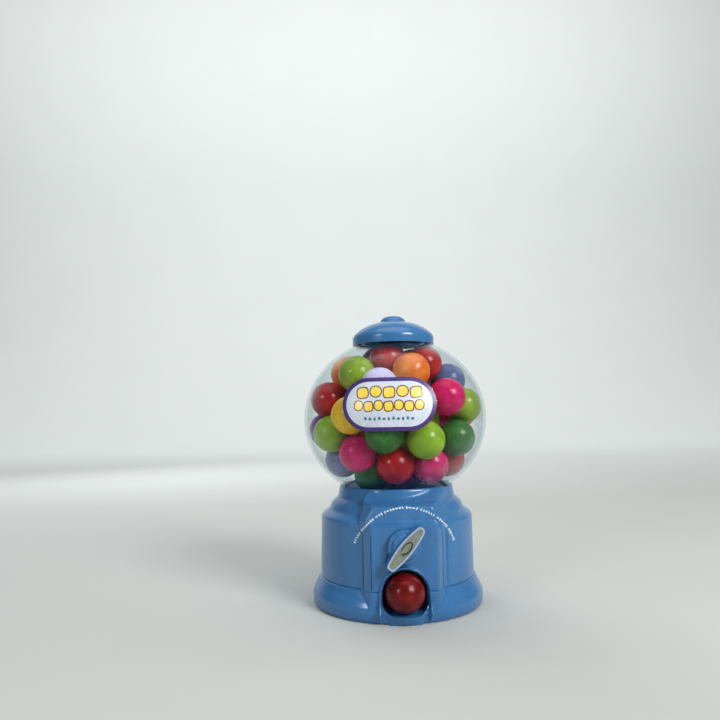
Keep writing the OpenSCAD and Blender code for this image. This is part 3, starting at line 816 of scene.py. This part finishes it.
def tilt(u, w):
    return (u * math.cos(TILT) - w * math.sin(TILT), u * math.sin(TILT) + w * math.cos(TILT))


def stack(layers, name, mat):
    # layers of (y, outline) with the same count of points, closed at both ends
    verts, faces = [], []
    n = len(layers[0][1])
    for y, o in layers:
        for u, w in o:
            x, z = tilt(u, w)
            verts.append((x, y, SZ + z))
    for k in range(len(layers) - 1):
        for i in range(n):
            j = (i + 1) % n
            faces.append((k * n + i, k * n + j, (k + 1) * n + j, (k + 1) * n + i))
    faces.append(tuple(range(n)))
    faces.append(tuple(range((len(layers) - 1) * n, len(layers) * n))[::-1])
    return make(name, verts, faces, mat, angle=30)


knob = stack([(-41.0, handle(0.25)), (-42.2, handle(0.1)), (-44.6, handle(0.0)), (-45.1, handle(-0.02)), (-45.35, handle(-0.08)),
              (-45.55, handle(-0.2)), (-45.66, handle(-0.34)), (-45.7, handle(-0.5))], "knob_body", BLUE)
hub = rounded([(0, -43.3), (4.6, -43.3), (5.6, -42.6), (5.9, -41.6), (7.5, -41.5), (7.5, -39.0), (2.6, -39.0)], [0, 0.8, 0.6, 0.5, 0.9, 0.3, 0], 6)
v, f = lathe_y([(r, y) for r, y in hub] + [(2.6, -42.9), (0, -42.9)], SZ, 96)
boolean(knob, make("hub", v, f, BLUE), "UNION")
knob.data.materials.clear()
knob.data.materials.append(BLUE)
knob.data.polygons.foreach_set("material_index", np.zeros(len(knob.data.polygons), np.int32))
sharpen(knob.data, 30)
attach(knob, "dispenser")
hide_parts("knob")


def on_knob(u, w, off):
    x, z = tilt(u, w)
    return (x, -45.7 - off, SZ + z)


kv, kf, km = [], [], []


def kl(v, f, m):
    b = len(kv)
    kv.extend(v)
    kf.extend([tuple(i + b for i in q) for q in f])
    km.extend([m] * len(f))


kl(*star(handle(-0.3), 6, on_knob, -0.1, 0.14), 0)
kl(*star(handle(-0.98), 6, on_knob, 0.05, 0.17), 1)
# clockwise arrow: an open loop that thickens towards its head
EA, EB, CU = 3.1, 1.55, 0.6


def loop(t, g):
    c, s = math.cos(t), math.sin(t)
    nx, ny = c / EA, s / EB
    l = math.hypot(nx, ny)
    return (CU + EA * c + nx / l * g, EB * s + ny / l * g)


ts = [math.radians(a) for a in np.linspace(138, -150, 46)]
band = []
for k, t in enumerate(ts):
    w = 0.2 + 0.24 * (k / 45)
    band.append((loop(t, w), loop(t, -w)))
bv, bfc = [], []
for (ox, oy), (ix, iy) in band:
    bv += [on_knob(ox, oy, 0.21), on_knob(ix, iy, 0.21), on_knob(ix, iy, 0.12), on_knob(ox, oy, 0.12)]
for k in range(len(band) - 1):
    for a in range(4):
        b = (a + 1) % 4
        bfc.append((4 * k + a, 4 * k + b, 4 * (k + 1) + b, 4 * (k + 1) + a))
bfc += [(0, 1, 2, 3), tuple(4 * (len(band) - 1) + i for i in (3, 2, 1, 0))]
kl(bv, bfc, 2)
te = math.radians(-150)
p0 = np.array(loop(te, 0))
d0 = np.array(loop(te - 0.25, 0)) - p0
d0 /= np.linalg.norm(d0)
n0 = np.array([-d0[1], d0[0]])
tri = [p0 + d0 * 1.5, p0 + n0 * 0.95 - d0 * 0.15, p0 + d0 * 0.2, p0 - n0 * 0.95 - d0 * 0.15]
kl(*star([tuple(p) for p in tri], 1, on_knob, 0.12, 0.22, tuple(p0 + d0 * 0.45)), 2)
klabel = make("knob_sticker", kv, kf, [LAVENDER, SAGE, BLACK], index=km)
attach(klabel, "dispenser")
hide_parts("knob_label")

# ------------------------------------------------------------------ gumballs


def islands(ob):
    # centre and radius of each ball in a CAD node
    me = ob.data
    n = len(me.vertices)
    co = np.zeros(n * 3)
    me.vertices.foreach_get("co", co)
    co = co.reshape(-1, 3)
    key = np.round(co / 2e-6).astype(np.int64)
    _, first, inv = np.unique(key, axis=0, return_index=True, return_inverse=True)
    inv = inv.reshape(-1)
    root = np.arange(len(first))
    ed = np.zeros(len(me.edges) * 2, np.int64)
    me.edges.foreach_get("vertices", ed)
    ed = inv[ed].reshape(-1, 2)
    for _ in range(400):
        m = np.minimum(root[ed[:, 0]], root[ed[:, 1]])
        new = root.copy()
        np.minimum.at(new, ed[:, 0], m)
        np.minimum.at(new, ed[:, 1], m)
        new = new[new]
        if (new == root).all():
            break
        root = new
    out = []
    pts = co[first]
    for r in np.unique(root):
        p = pts[root == r]
        lo, hi = p.min(0), p.max(0)
        out.append(((lo + hi) / 2, float((hi - lo).max() / 2)))
    out.sort(key=lambda b: tuple(np.round(b[0], 5)))
    return out


bm = bmesh.new()
bmesh.ops.create_icosphere(bm, subdivisions=5, radius=1.0)
ICO_V = np.array([v.co[:] for v in bm.verts])
ICO_F = [tuple(v.index for v in f.verts) for f in bm.faces]
bm.free()


def ball_mesh(centre, radius, seed):
    # a gumball is never quite round: low lumps, a faint seam where the two halves met, and a few dents
    g = np.random.default_rng(seed)
    d = ICO_V
    h = np.zeros(len(d))
    for _ in range(5):
        a = g.normal(size=3)
        a /= np.linalg.norm(a)
        h += g.uniform(0.2, 1) * np.cos(g.uniform(1.5, 4.5) * (d @ a) + g.uniform(0, 6))
    h = h / np.abs(h).max() * 0.0045
    a = g.normal(size=3)
    a /= np.linalg.norm(a)
    h -= 0.004 * np.exp(-((d @ a) / 0.035) ** 2)
    for _ in range(3):
        a = g.normal(size=3)
        a /= np.linalg.norm(a)
        h -= g.uniform(0.004, 0.009) * np.exp(-((1 - d @ a) / 0.03))
    h -= h.max()
    return (centre + d * radius * (1 + h)[:, None]) / MM


def balls(name, node, mat, body):
    vs, fs = [], []
    for i, (c, r) in enumerate(islands(NODES[node])):
        b = len(vs) * len(ICO_V)
        vs.append(ball_mesh(np.array(c), r, 100 + 17 * i + len(name)))
        fs += [(x + b, y + b, z + b) for x, y, z in ICO_F]
    ob = make(name, np.concatenate(vs), fs, mat, angle=60)
    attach(ob, body)
    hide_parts(node)
    return ob


for colour in CANDY:
    balls("candy_balls_" + colour, "gumballs_" + colour, CANDY[colour], "base")
# the tray's ball wears the darker red copy: painted shade
balls("candy_ball_tray", "dispensed_gumball", RED_PAINTED_SHADE, "dispensed_ball")

# ------------------------------------------------------------------ carried-over CAD nodes


def dress(node, mat, angle=35):
    ob = NODES[node]
    ob.data.materials.clear()
    ob.data.materials.append(mat)
    ob.data.polygons.foreach_set("material_index", np.zeros(len(ob.data.polygons), np.int32))
    w = ob.modifiers.new("weld", "WELD")
    w.merge_threshold = 2e-6
    b = ob.modifiers.new("edges", "BEVEL")
    b.width = 0.00015
    b.segments = 2
    b.limit_method = "ANGLE"
    b.angle_limit = math.radians(40)
    b.use_clamp_overlap = True
    b.harden_normals = False
    for p in ob.data.polygons:
        p.use_smooth = True
    return ob


for node, mat in (("bottom_cover", BLUE_DARK), ("bottom_screws", STEEL), ("hopper_plate", INNER), ("hopper_screws", STEEL),
                  ("dispenser_housing", WHITE), ("housing_screws", STEEL), ("shaft_bush", WHITE), ("knob_screw", STEEL),
                  ("knob_shaft", SHAFT), ("retaining_clip", SHAFT), ("rotor_cup", WHITE), ("chute_ramp", INNER)):
    dress(node, mat)

# ------------------------------------------------------------------ floor, light and camera


def stage_mat():
    # matt studio paper, its colour painted lighter where it rises behind the machine: painted light that evens out the
    # dimmer band the lamps leave there
    m = Mat("studio_paper")
    n = m.noise(6, 3, 0.5)
    low = m.ramp(n, [(0.3, (0.470, 0.492, 0.480)), (0.7, (0.482, 0.504, 0.492))])
    back_painted_light = m.ramp(n, [(0.3, (0.760, 0.790, 0.774)), (0.7, (0.772, 0.802, 0.786))])
    sep = m.n("ShaderNodeSeparateXYZ")
    m.link(m.coord.outputs["Object"], sep.inputs[0])
    # painted light: the colour runs from the floor tone to the lighter back tone between y 0.35 and 1.35
    col = m.mix(m.span(sep.outputs["Y"], 0, 1, 0.35, 1.35), low, back_painted_light)
    m.bsdf(col, m.span(n, 0.7, 0.85), spec=0.0)
    return m.m


pts = [(-2.5, 0.0), (1.2, 0.0)] + [(1.2 + 1.0 * math.sin(t), 1.0 - 1.0 * math.cos(t)) for t in np.linspace(0, math.pi / 2, 24)[1:]] + [(2.2, 4.0)]
sv = [(x, y, z) for y, z in pts for x in (-9.0, 9.0)]
sf = [(2 * i, 2 * i + 1, 2 * i + 3, 2 * i + 2) for i in range(len(pts) - 1)]
me = bpy.data.meshes.new("studio_sweep")
me.from_pydata(sv, [], sf)
me.materials.append(stage_mat())
for p in me.polygons:
    p.use_smooth = True
sweep = bpy.data.objects.new("studio_sweep", me)
bpy.context.scene.collection.objects.link(sweep)

world = bpy.data.worlds.new("studio")
world.use_nodes = True
world.node_tree.nodes["Background"].inputs["Color"].default_value = (0.86, 0.90, 0.93, 1)
world.node_tree.nodes["Background"].inputs["Strength"].default_value = 0.25
bpy.context.scene.world = world


def lamp(name, pos, target, size, power, color=(1, 1, 1), sy=None):
    L = bpy.data.lights.new(name, "AREA")
    L.shape = "RECTANGLE"
    L.size = size
    L.size_y = sy or size
    L.energy = power
    L.color = color
    ob = bpy.data.objects.new(name, L)
    bpy.context.scene.collection.objects.link(ob)
    ob.location = pos
    ob.rotation_euler = (Vector(target) - Vector(pos)).to_track_quat("-Z", "Y").to_euler()
    return ob


lamp("key_right", (0.50, -0.62, 0.55), (0, 0, 0.06), 0.34, 7.2, (1.0, 0.98, 0.95))
lamp("soft_left", (-0.52, -0.50, 0.34), (0, 0, 0.09), 0.15, 0.95, (0.95, 0.98, 1.0))
lamp("top_fill", (0.0, -0.1, 1.1), (0, 0, 0.07), 0.9, 3.2)
rim = lamp("rim_back", (-0.35, 0.65, 0.5), (0, 0, 0.09), 0.5, 2.2)
rim.visible_glossy = False
wash = lamp("wall_wash", (0.0, 0.8, 1.9), (0, 2.2, 0.7), 3.2, 34.0, sy=0.6)
wash.visible_glossy = False

cam_d = bpy.data.cameras.new("camera")
cam = bpy.data.objects.new("camera", cam_d)
bpy.context.scene.collection.objects.link(cam)
CAM_POS = Vector((-0.02733, -0.31883, 0.0920))
CAM_AZ, CAM_EL, CAM_ROLL = math.radians(-1.84), 0.0, math.radians(-1.05)
fw = Vector((-math.sin(CAM_AZ) * math.cos(CAM_EL), math.cos(CAM_AZ) * math.cos(CAM_EL), -math.sin(CAM_EL)))
rt = Vector((math.cos(CAM_AZ), math.sin(CAM_AZ), 0))
up = rt.cross(fw)
rt2 = rt * math.cos(CAM_ROLL) + up * math.sin(CAM_ROLL)
up2 = up * math.cos(CAM_ROLL) - rt * math.sin(CAM_ROLL)
from mathutils import Matrix
rot = Matrix((rt2, up2, -fw)).transposed()
cam.matrix_world = Matrix.Translation(CAM_POS) @ rot.to_4x4()
cam_d.sensor_width = 36.0
cam_d.lens = 32.13
cam_d.shift_y = 0.075
cam_d.clip_start, cam_d.clip_end = 0.01, 20
bpy.context.scene.camera = cam
bpy.context.scene.view_settings.view_transform = "Standard"
